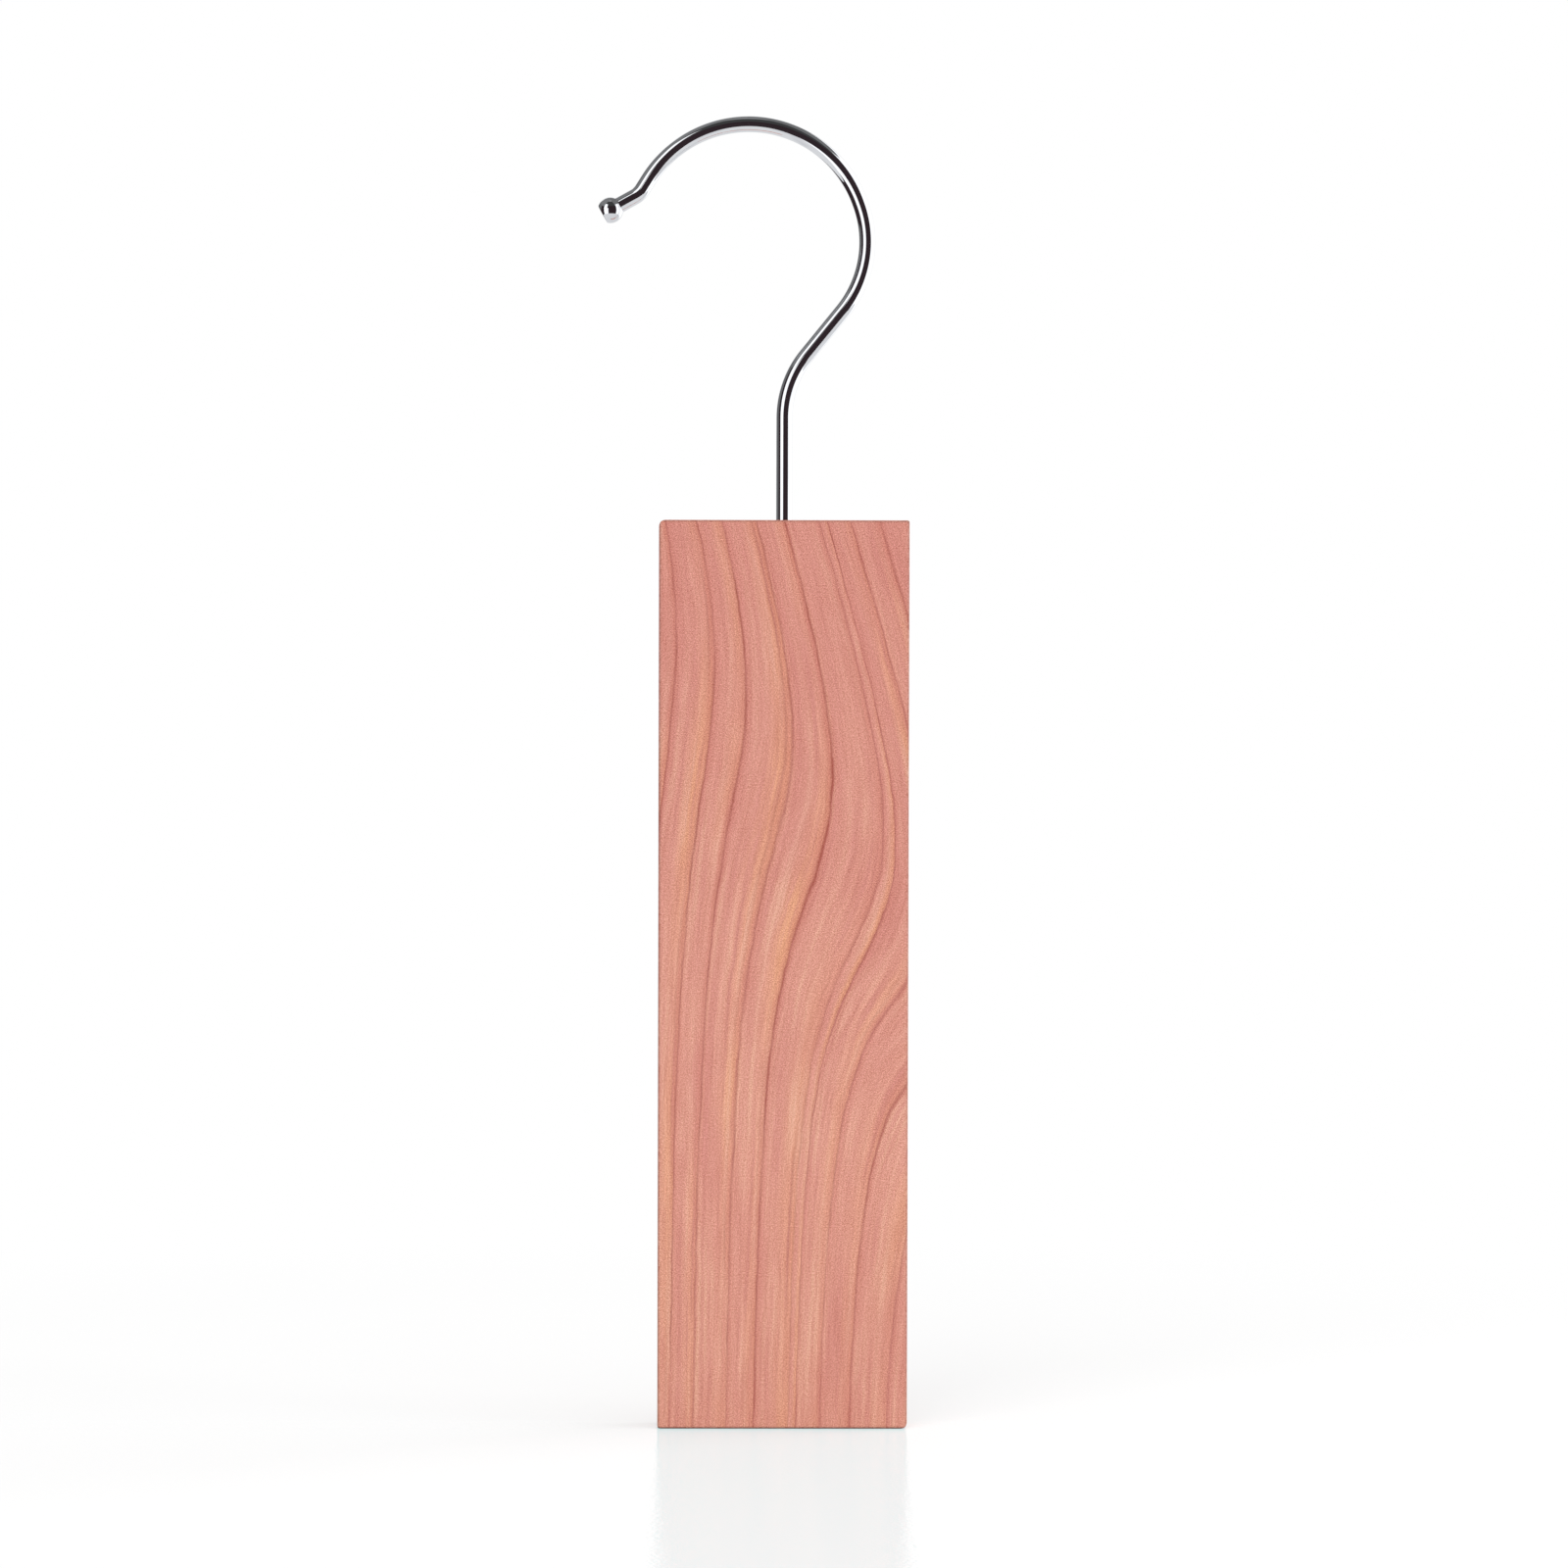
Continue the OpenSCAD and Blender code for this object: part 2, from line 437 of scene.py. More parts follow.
# How much smoother a ring's line is, how much rougher a fleck, and how strongly the face shines
LINE_POLISH, FLECK_ROUGHNESS, WOOD_SHINE = 0.08, 0.15, 0.3


def swirled(graph, look, x, inward, depth):
    """How far across the rings a point lies, in millimetres: the grain leans over and comes back as it goes down."""
    middle = look.swirl_depth / MM + x * look.swirl_slope + inward * BACK_LAG
    reach = look.swirl_reach / MM + depth * look.swirl_growth
    lean = reach / (1 + graph.maths("EXPONENT", (depth - middle) / (look.swirl_run / MM)))
    waves = graph.noise(WANDER, x, inward, depth) + graph.noise(RIPPLE, x, inward, depth)
    return x - lean + depth * GRAIN_LEAN + inward * look.ring_slant + waves


def growth(graph, across):
    """The count of rings passed so far, with its fraction, and how dark the nearest line is."""
    count, darkness = 0, RINGS[0][1]
    for (place, dark), (next_place, next_dark) in zip(RINGS, RINGS[1:], strict=False):
        step = graph.ramp(across, place, next_place)
        count = step + count
        darkness = step * (next_dark - dark) + darkness
    return count, darkness


def changed(graph, depth, change):
    """How much of a change with the depth has come in."""
    start, end, amount = change
    return graph.ramp(depth, start, end) * amount


def bell(graph, offset, width):
    """1 where the offset is 0, falling to nearly 0 at that width on both sides."""
    share = offset / width
    return graph.maths("EXPONENT", share * share * -4)


def end_mask(graph, depth):
    """1 on the two sawn ends, 0 on the faces between them."""
    half = (BOARD_HIGH.z - BOARD_LOW.z) / MM / 2
    off_middle = graph.maths("ABSOLUTE", depth - half)
    return graph.ramp(off_middle, half - END_START, half - END_FULL, "SMOOTHSTEP")


def edge_mask(graph, x, y, z, width):
    """1 on the board's edges, falling to 0 at that many millimetres from them."""
    middle, half = (BOARD_HIGH + BOARD_LOW) / 2 / MM, (BOARD_HIGH - BOARD_LOW) / 2 / MM
    near = []
    for value, centre, reach in zip((x, y, z), middle, half, strict=True):
        near.append(graph.ramp(graph.maths("ABSOLUTE", value - centre), reach - width, reach, "SMOOTHSTEP"))
    return graph.maths("MINIMUM", near[0] * near[1] + near[1] * near[2] + near[2] * near[0], 1)


def ring_colours(graph, look, across, inward, depth):
    """The wood's colour without its fibres, and how much of a ring's line is in it."""
    count, darkness = growth(graph, across)
    part = graph.maths("FRACT", count)
    ring = graph.maths("FLOOR", count)
    lively = 1 - changed(graph, depth, CALM)
    early = (graph.noise(RING_MAUVE, ring, inward, depth) + MAUVE_MEAN) * lively
    late = (graph.noise(RING_TAN, ring, inward, depth) + TAN_MEAN) * lively
    streak = graph.noise(STREAKS, across, inward, depth)
    blotch = graph.noise(BLOTCHES, across, inward, depth)

    tone = graph.blend(graph.ramp(part, MAUVE_END, 0, "SMOOTHSTEP") * early, look.pink, look.mauve)
    tone = graph.blend(graph.ramp(part, TAN_START, TAN_FULL, "SMOOTHSTEP") * late, tone, look.tan)
    tone = graph.blend(graph.ramp(streak, STREAK_START, STREAK_FULL) * STREAK_SHARE, tone, look.pale)
    tone = graph.blend(graph.ramp(streak, -STREAK_START, -STREAK_FULL) * STREAK_SHARE, tone, look.mauve)
    tone = graph.blend(graph.ramp(blotch, BLOTCH_START, BLOTCH_FULL) * BLOTCH_SHARE, tone, look.mauve)
    tone = graph.blend(changed(graph, depth, MAUVE_TOP), tone, look.mauve)
    tone = graph.blend(changed(graph, depth, BROWN_FOOT), tone, look.end_grain)

    nearest = part - graph.maths("ROUND", part)
    ring_width = (RINGS[-1][0] - RINGS[0][0]) / (len(RINGS) - 1)
    off_line = nearest * ring_width
    width = look.line_width / MM
    broken = graph.noise(BREAKS, across, inward, depth) + LINE_MEAN
    line = bell(graph, off_line, width) * darkness * broken * (lively * LINE_CALM + (1 - LINE_CALM))
    double = graph.ramp(graph.noise(RING_DOUBLE, ring, inward, depth), DOUBLE_START, DOUBLE_FULL)
    second = bell(graph, off_line + width * SECOND_GAP, width) * double * DOUBLE_SHARE
    line = graph.maths("MINIMUM", graph.maths("MAXIMUM", line, second), 1)
    band = bell(graph, off_line + width * BAND_GAP, width * BAND_REACH) * darkness * lively
    tone = graph.blend(band * BAND_SHARE, tone, look.band)
    return graph.blend(line, tone, look.line), line


def cedar_material(look):
    """Red cedar: growth rings that swirl, fibres and flecks that follow them, darker ends, and painted shade along the
    eased edges.
    """
    material, graph = new_material("red_cedar")
    x, y, z = graph.object_place()
    inward = y - BOARD_LOW.y / MM
    depth = BOARD_HIGH.z / MM - z
    across = swirled(graph, look, x, inward, depth)
    tone, line = ring_colours(graph, look, across, inward, depth)

    end = end_mask(graph, depth)
    edge = edge_mask(graph, x, y, z, look.burnish_width / MM)
    tone = graph.blend(end * look.end_share, tone, look.end_grain)
    # Painted shade along the eased edges, laid over the wood's colour
    tone = graph.blend(edge * look.burnish_share, tone, look.burnish)
    sawn = graph.noise(SAW_MARKS, x, y, 0.0) * end
    fibre = graph.noise(FIBRES, across, y, depth)
    fleck = graph.noise(FLECKS, x, y, depth)
    grit = graph.noise(GRIT, x, y, depth)
    relief = fibre * look.fibre + (fleck + grit) * look.fleck + sawn * SAW_STAIN
    stain = graph.vector(*(relief * part + 1 for part in STAIN))
    tone = graph.node("ShaderNodeVectorMath", {"operation": "MULTIPLY"}, {0: tone, 1: stain})

    graph.surface(
        {
            "Base Color": tone,
            "Roughness": look.roughness - line * LINE_POLISH + fleck * FLECK_ROUGHNESS,
            "Specular IOR Level": WOOD_SHINE,
        },
        bump=fibre * FIBRE_HEIGHT + fleck * FLECK_HEIGHT + sawn * SAW_HEIGHT + line * LINE_HEIGHT,
    )
    return material


# Metals

# Noises in the plate of the wire, whose first two axes run round it, and how much rougher the haze is
DRAW_LINES = Noise((14, 14, 0.05))
HAZE = Noise((1.5, 1.5, 0.12), detail=3)
HAZE_FULL, HAZE_ROUGHNESS = 0.3, 0.06

# Noises in the sleeve: its grooves, whose first axis runs outwards, and its uneven plate
GROOVES = Noise((9, 0, 5), detail=1)
UNEVEN_PLATE = Noise((0.8, 0.8, 0.8), detail=3)
# Levels of both together between which the painted shade in the grooves and the darker uneven plate give way to the
# plate, and what they do to the surface
SHADE_LEVEL, PLATE_LEVEL = -0.2, 0.3
PLATE_ROUGHNESS, GROOVE_HEIGHT = 0.2, 0.01


def chrome_material(look):
    """Polished chrome with a faint haze and the wire's own draw lines under it."""
    material, graph = new_material("bright_chrome")
    side = graph.node("ShaderNodeAttribute", {"attribute_name": "wire_side"}, None, "Vector")
    along = graph.node("ShaderNodeAttribute", {"attribute_name": "wire_along"}, None, "Fac") / MM
    parts = graph.node("ShaderNodeSeparateXYZ", None, {0: side})
    round_x, round_y = parts, parts.out("Y")
    lines = graph.noise(DRAW_LINES, round_x, round_y, along)
    haze = graph.noise(HAZE, round_x, round_y, along)
    graph.surface(
        {
            "Base Color": graph.blend(graph.ramp(haze, 0, HAZE_FULL), look.plate, look.haze),
            "Metallic": 1,
            "Roughness": haze * HAZE_ROUGHNESS + look.roughness,
        },
        bump=lines * look.draw_lines,
        depth=MM / 1000,
    )
    return material


def steel_material(look):
    """Zinc-plated steel with the fine grooves that turning leaves round it, painted shade in those grooves and a
    darker tone where the plate is uneven.
    """
    material, graph = new_material("turned_steel")
    x, y, z = graph.object_place()
    radius = graph.maths("SQRT", x * x + y * y)
    grooves = graph.noise(GROOVES, radius, 0.0, z)
    plate = graph.noise(UNEVEN_PLATE, x, y, z)
    # How much of the plate shows over the painted shade in the grooves and the darker uneven plate
    unshaded = graph.ramp(grooves + plate, SHADE_LEVEL, PLATE_LEVEL)
    graph.surface(
        {
            "Base Color": graph.blend(unshaded, look.shade, look.plate),
            "Metallic": 1,
            "Roughness": plate * PLATE_ROUGHNESS + look.roughness,
        },
        bump=grooves * GROOVE_HEIGHT,
    )
    return material


# Pieces

def place_piece(piece, node, material):
    """Hands a finished piece to the frame: it stands for a CAD node and rides on that node's body."""
    body = frame["nodes"][node]["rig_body"]
    piece.data.materials.clear()
    piece.data.materials.append(material)
    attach(piece, body)
    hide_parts(node)


def new_object(name, mesh):
    """An object at the origin that shows that mesh."""
    made = bpy.data.objects.new(name, mesh)
    bpy.context.scene.collection.objects.link(made)
    return made


def settle(piece):
    """Turns a piece with its modifiers into a plain mesh without them."""
    seen = piece.evaluated_get(bpy.context.evaluated_depsgraph_get())
    mesh = bpy.data.meshes.new_from_object(seen)
    piece.modifiers.clear()
    piece.data = mesh
    mesh.name = piece.name


# The board's edges are cut this often so that their easing can vary, in waves of two lengths, the short one weaker
EASING_STEP, LONG_WAVE, SHORT_WAVE, SHORT_SHARE = 4 * MM, 15 * MM, 4 * MM, 0.5
# Edges of the cut box that turn further than this are its outer edges
OUTER_TURN = math.radians(80)
EASING_SEGMENTS = 5
# Sides of the drilled hole, how far the drill's shape stands out of it, and how near two of its points are one
HOLE_SIDES, CUT_OVER, MERGE_GAP = 48, 1 * MM, 0.001 * MM


def divided_box(low, high, step):
    """A box with its faces cut across every step or so along its height and its width."""
    box = bmesh.new()
    bmesh.ops.create_cube(box, size=1)
    for corner in box.verts:
        corner.co = [low[i] if corner.co[i] < 0 else high[i] for i in range(3)]
    for axis in (0, 2):
        count = round((high[axis] - low[axis]) / step)
        normal = Vector([float(i == axis) for i in range(3)])
        for cut in range(1, count):
            middle = low + (high - low) * cut / count
            bmesh.ops.bisect_plane(
                box, geom=[*box.verts, *box.edges, *box.faces], plane_co=middle, plane_no=normal
            )
    return box


def easing(sizes, edge):
    """How far an outer edge of the box is eased, uneven along it as hand sanding leaves it."""
    run = edge.verts[1].co - edge.verts[0].co
    middle = (edge.verts[0].co + edge.verts[1].co) / 2
    if abs(run.y) > max(abs(run.x), abs(run.z)):
        upper = middle.z > (BOARD_LOW.z + BOARD_HIGH.z) / 2
        left = middle.x < 0
        corner = f"{'top' if upper else 'bottom'}_{'left' if left else 'right'}"
        return getattr(sizes, corner)
    plain = sizes.upright_edge if abs(run.z) > abs(run.x) else sizes.end_edge
    wave = noise.noise(middle / LONG_WAVE) + SHORT_SHARE * noise.noise(middle / SHORT_WAVE)
    return plain * (1 + sizes.unevenness * wave)


def eased_board(sizes):
    """The board as a box whose outer edges carry the weights of their easing."""
    box = divided_box(BOARD_LOW, BOARD_HIGH, EASING_STEP)
    widest = max(sizes.top_left, sizes.top_right, sizes.bottom_left, sizes.bottom_right)
    weights = box.edges.layers.float.new("bevel_weight_edge")
    for edge in box.edges:
        if edge.calc_face_angle(0) > OUTER_TURN:
            edge[weights] = easing(sizes, edge) / widest
    mesh = bpy.data.meshes.new("cedar_board")
    box.to_mesh(mesh)
    box.free()
    return new_object("cedar_board", mesh), widest


def lathe(name, outline, sides):
    """A closed solid of revolution about Z from (radius, height) points, which start and end on the axis."""
    turned = bmesh.new()
    points = [turned.verts.new((radius, 0, height)) for radius, height in outline]
    edges = [turned.edges.new(pair) for pair in zip(points, points[1:], strict=False)]
    bmesh.ops.spin(turned, geom=[*points, *edges], axis=(0, 0, 1), angle=math.tau, steps=sides, use_merge=True)
    bmesh.ops.remove_doubles(turned, verts=turned.verts, dist=MERGE_GAP)
    bmesh.ops.recalc_face_normals(turned, faces=turned.faces)
    mesh = bpy.data.meshes.new(name)
    turned.to_mesh(mesh)
    turned.free()
    return new_object(name, mesh)


def drill(sizes):
    """The shape of the drilled hole: its point, its wall and the chamfer at its mouth."""
    radius = sizes.hole_diameter / 2
    foot = HOOK_LOW.z - sizes.hole_spare
    point = radius / math.tan(sizes.drill_angle / 2)
    top = BOARD_HIGH.z
    outline = (
        (0, foot - point),
        (radius, foot),
        (radius, top - sizes.mouth_chamfer),
        (radius + sizes.mouth_chamfer + CUT_OVER, top + CUT_OVER),
        (0, top + CUT_OVER),
    )
    return lathe("drill", outline, HOLE_SIDES)


def make_board(sizes, look):
    """The cedar board: eased edges, a drilled hole and even shading on its flats."""
    board, widest = eased_board(sizes)
    cutter = drill(sizes)
    bevel = board.modifiers.new("easing", "BEVEL")
    bevel.limit_method = "WEIGHT"
    bevel.width = widest
    bevel.segments = EASING_SEGMENTS
    bevel.use_clamp_overlap = False
    hole = board.modifiers.new("hole", "BOOLEAN")
    hole.object = cutter
    hole.solver = "EXACT"
    flats = board.modifiers.new("flats", "WEIGHTED_NORMAL")
    flats.keep_sharp = True
    for face in board.data.polygons:
        face.use_smooth = True
    settle(board)
    bpy.data.objects.remove(cutter)
    place_piece(board, "cedar_block", cedar_material(look))


# Points along the wire: round the head, up to the bead, round the bead and round its rim
HEAD_POINTS, WIRE_POINTS, BEAD_POINTS, RIM_POINTS = 32, 520, 64, 14
# Steps of those that the head itself takes
HEAD_STEPS = 24
# Where the bead's points start: this share of its diameter before its middle
BEAD_LEAD = 0.6
# Sides of the wire, and how far its surface turns at a sharp edge
WIRE_SIDES, SHARP_TURN = 48, math.radians(35)


def group_inputs(graph, sizes):
    """Gives a geometry tree one named input for each of the sizes, and returns them by property name."""
    graph.tree.interface.new_socket("Geometry", in_out="INPUT", socket_type="NodeSocketGeometry")
    names = [prop.identifier for prop in sizes.bl_rna.properties if prop.type == "FLOAT"]
    for name in names:
        label = sizes.bl_rna.properties[name].name
        graph.tree.interface.new_socket(label, in_out="INPUT", socket_type="NodeSocketFloat")
    entry = graph.node("NodeGroupInput")
    return SimpleNamespace(**{name: entry.out(sizes.bl_rna.properties[name].name) for name in names})


def bends(size):
    """Each bend of the wire: where it starts and ends along the wire, and its turn, positive towards the mouth."""
    found, start = [], 0
    for bend, side in (("neck", -1), ("shoulder", 1), ("bow", 1), ("kink", -1)):
        turn = getattr(size, f"{bend}_turn")
        start = getattr(size, f"{bend}_run") + start
        end = start + getattr(size, f"{bend}_radius") * turn
        found.append((start, end, turn * side))
        start = end
    return found, start


def wire_steps(graph, size, bead_middle, rim_start):
    """A function from a point's number to how far along the wire it lies: closer together where the wire is formed."""
    head = size.head_height * (HEAD_POINTS / HEAD_STEPS)
    bead_start = bead_middle - size.bead_diameter * BEAD_LEAD
    end = bead_middle + size.bead_flat
    to_bead = HEAD_POINTS + WIRE_POINTS
    to_rim = to_bead + BEAD_POINTS

    def along(number):
        turned = graph.ramp(number, to_rim, to_rim + RIM_POINTS) * (math.pi / 2)
        return (
            graph.ramp(number, 0, HEAD_POINTS) * head
            + graph.ramp(number, HEAD_POINTS, to_bead) * (bead_start - head)
            + graph.ramp(number, to_bead, to_rim) * (rim_start - bead_start)
            + graph.maths("SINE", turned) * (end - rim_start)
        )

    return along


def ball_rim(graph, size):
    """The rounding of the bead's rim: its centre's distance from the wire's axis, how far beyond the bead's middle
    that centre lies, and where the rounding leaves the ball."""
    ball = size.bead_diameter / 2
    inner = ball - size.bead_rim
    beyond = size.bead_flat - size.bead_rim
    off_axis = graph.maths("SQRT", inner * inner - beyond * beyond)
    return off_axis, beyond, beyond * ball / inner


def wire_radius(graph, size, along, bead_middle, rim):
    """The radius of the wire at a place along it, with the head, the bead, the bead's root and its rounded rim."""
    wire = size.wire_diameter / 2
    head_step = size.head_height / HEAD_STEPS
    chamfer = size.head_chamfer
    rim_out = size.head_lip - chamfer
    head = (
        graph.ramp(along, 0, chamfer) * chamfer
        - graph.ramp(along, size.head_height - chamfer, size.head_height) * chamfer
        + (1 - graph.ramp(along, size.head_height, size.head_height + head_step)) * rim_out
    )
    off_axis, beyond, leaves = rim
    ball = size.bead_diameter / 2
    past = along - bead_middle
    round_ball = graph.maths("SQRT", graph.maths("MAXIMUM", ball * ball - past * past, 0))
    past_rim = past - beyond
    rounding = size.bead_rim * size.bead_rim - past_rim * past_rim
    round_rim = off_axis + graph.maths("SQRT", graph.maths("MAXIMUM", rounding, 0))
    on_rim = graph.maths("GREATER_THAN", past, leaves)
    rooted = graph.maths("SMOOTH_MAX", wire, round_ball, size.bead_root)
    return rooted * (1 - on_rim) + round_rim * on_rim + head


def hook_tree(sizes, material):
    """The geometry nodes of the hook: points that step along the bends, swept with a ring of the wire's radius."""
    tree = bpy.data.node_groups.new("bent_wire_hook", "GeometryNodeTree")
    graph = Graph(tree)
    size = group_inputs(graph, sizes)
    tree.interface.new_socket("Geometry", in_out="OUTPUT", socket_type="NodeSocketGeometry")

    turns, bent = bends(size)
    bead_middle = bent + size.tip_run
    rim = ball_rim(graph, size)
    along_at = wire_steps(graph, size, bead_middle, bead_middle + rim[2])
    number = graph.node("GeometryNodeInputIndex")
    along = along_at(number)
    before = along_at(number - 1)
    heading = 0
    for start, end, turn in turns:
        heading = graph.ramp((along + before) / 2, start, end) * turn + heading
    step = along - before
    sideways = graph.maths("SINE", heading) * step * -1
    upwards = graph.maths("COSINE", heading) * step
    walked = graph.node(
        "GeometryNodeAccumulateField",
        {"data_type": "FLOAT_VECTOR"},
        {0: graph.vector(sideways, 0.0, upwards)},
    )
    place = graph.node(
        "ShaderNodeVectorMath", {"operation": "ADD"}, {0: walked, 1: (0, 0, HOOK_LOW.z)}
    )

    count = HEAD_POINTS + WIRE_POINTS + BEAD_POINTS + RIM_POINTS + 1
    line = graph.node(
        "GeometryNodeResampleCurve", None, {"Curve": graph.node("GeometryNodeCurvePrimitiveLine"), "Count": count}
    )
    path = graph.node("GeometryNodeSetPosition", None, {"Geometry": line, "Position": place})
    path = graph.node(
        "GeometryNodeStoreNamedAttribute", {"data_type": "FLOAT"}, {0: path, "Name": "wire_along", "Value": along}
    )
    radius = wire_radius(graph, size, along, bead_middle, rim)
    ring = graph.node("GeometryNodeCurvePrimitiveCircle", None, {"Resolution": WIRE_SIDES, "Radius": 1.0})
    ring = graph.node(
        "GeometryNodeStoreNamedAttribute",
        {"data_type": "FLOAT_VECTOR"},
        {0: ring, "Name": "wire_side", "Value": graph.node("GeometryNodeInputPosition")},
    )
    swept = graph.node(
        "GeometryNodeCurveToMesh", None, {"Curve": path, "Profile Curve": ring, "Scale": radius, "Fill Caps": True}
    )
    real = graph.node("GeometryNodeRealizeInstances", None, {"Geometry": swept})
    dressed = graph.node("GeometryNodeSetMaterial", None, {"Geometry": real, "Material": material})
    graph.node("NodeGroupOutput", None, {"Geometry": dressed})
    return tree


def make_hook(sizes, look):
    """The wire hook, swept by geometry nodes along its bends."""
    material = chrome_material(look)
    hook = new_object("wire_hook", bpy.data.meshes.new("wire_hook"))
    sweep = hook.modifiers.new("bends", "NODES")
    tree = sweep.node_group = hook_tree(sizes, material)
    labels = {prop.name: prop.identifier for prop in sizes.bl_rna.properties}
    for item in tree.interface.items_tree:
        if item.in_out == "INPUT" and item.name in labels:
            sweep[item.identifier] = getattr(sizes, labels[item.name])
    settle(hook)
    for face in hook.data.polygons:
        face.use_smooth = True
    hook.data.set_sharp_from_angle(angle=SHARP_TURN)
    place_piece(hook, "hook", material)


def dress_sleeve(look):
    """The sleeve keeps its CAD mesh and gets its plated steel."""
    sleeve = frame["nodes"]["swivel_sleeve"]
    sleeve.data.materials.clear()
    sleeve.data.materials.append(steel_material(look))


# Studio

# What the chrome mirrors besides the table: each panel's sides as azimuths to the right of the camera, its foot and
# top as elevations, all in degrees, and its brightness
PANELS = (
    (-56, -17, -50, 16, 1.35),
    (-58, -28, 8, 50, 1.35),
    (57.5, 150, -50, 45, 1.35),
    (-184, -150, -50, 36, 0.86),
    (146, 184, -50, 36, 0.86),
    (-156, -89, -6, 34, 0.16),
    (-184, -56, 30, 94, 0.22),
    (50, 184, 38, 94, 0.18),
    (-62, 62, 34, 94, 0.052),
    (-184, 184, 79, 94, 0.3),
)
DARK_ROOM = (0.034, 0.022, 0.026)
EDGE_SOFTNESS = 2.5

# The lamps: azimuth to the right of the front and elevation, in degrees, width and height in metres, and the setting
# that holds their power. They all stand this many metres away
LAMPS = (
    ("key_lamp", -24, 36, (2.5, 3.3), "key_power"),
    ("side_lamp", 92, 26, (6.2, 3.3), "side_power"),
    ("top_lamp", 15, 66, (4.2, 4.2), "top_power"),
)
LAMP_DISTANCE = 5

# The table's sides, how far it lies under the foot, and the parts of its radius between which it turns plain white
TABLE_SIDES, TABLE_DROP, WHITE_START, WHITE_FULL = 96, 0.02 * MM, 0.6, 0.95
# Its uneven polish, in millimetres, and how steeply its mirror image grows towards a grazing view
ORANGE_PEEL = Noise((1, 1, 0), 0.08, detail=1)
GRAZING_POWER = 5
# The grey that it is to the light that the pieces gather
TABLE_BOUNCE = 0.5

# The camera's sensor in millimetres, and how far it sees in metres
SENSOR_WIDTH, CLIP_END = 36, 20


def between(graph, value, start, end):
    """1 between start and end, falling softly to 0 outside them."""
    rise = graph.ramp(value, start - EDGE_SOFTNESS, start + EDGE_SOFTNESS, "SMOOTHSTEP")
    fall = graph.ramp(value, end + EDGE_SOFTNESS, end - EDGE_SOFTNESS, "SMOOTHSTEP")
    return rise * fall


def studio_reflection(graph):
    """The light that a mirror sees in each direction: a dark room with pale panels and a grey ceiling."""
    place = graph.node("ShaderNodeTexCoord", None, None, "Generated")
    parts = graph.node("ShaderNodeSeparateXYZ", None, {0: place})
    x, y, z = parts, parts.out("Y"), parts.out("Z")
    azimuth = graph.maths("ARCTAN2", x, y * -1) * (180 / math.pi)
    elevation = graph.maths("ARCSINE", z) * (180 / math.pi)
    bright = 0
    for left, right, foot, top, level in PANELS:
        inside = between(graph, azimuth, left, right) * between(graph, elevation, foot, top)
        bright = graph.maths("MAXIMUM", inside * level, bright)
    return graph.node(
        "ShaderNodeVectorMath", {"operation": "MAXIMUM"}, {0: graph.vector(bright, bright, bright), 1: DARK_ROOM}
    )


def light_world(sizes):
    """White to the camera, through glass and to the table's sharp mirror, a studio to the polished metal, and soft
    even light to everything else."""
    world = bpy.data.worlds.new("studio")
    world.use_nodes = True
    bpy.context.scene.world = world
    graph = Graph(world.node_tree)
    ray = graph.node("ShaderNodeLightPath", None, None, "Is Camera Ray")
    white = graph.maths("MAXIMUM", ray, ray.out("Is Transmission Ray"))
    white = graph.maths("MAXIMUM", white, ray.out("Is Singular Ray"))
    ambient = graph.node("ShaderNodeBackground", None, {"Color": (1, 1, 1, 1), "Strength": sizes.ambient})
    mirrored = graph.node("ShaderNodeBackground", None, {"Color": studio_reflection(graph)})
    shader = graph.node("ShaderNodeMixShader", None, {0: ray.out("Is Glossy Ray"), 1: ambient, 2: mirrored})
    backdrop = graph.node("ShaderNodeBackground", None, {"Color": (1, 1, 1, 1)})
    shader = graph.node("ShaderNodeMixShader", None, {0: white, 1: shader, 2: backdrop})
    graph.node("ShaderNodeOutputWorld", None, {"Surface": shader})


def tinted_mirror(graph, kept, bump):
    """A sharp mirror that keeps so much of each colour and makes up for the rest in plain light."""
    mirror = graph.node("ShaderNodeBsdfGlossy", None, {"Color": kept, "Roughness": 0.0, "Normal": bump})
    made_up = graph.node("ShaderNodeEmission", None, {"Color": [1 - level for level in kept[:3]] + [1]})
    return graph.node("ShaderNodeAddShader", None, {0: mirror, 1: made_up})


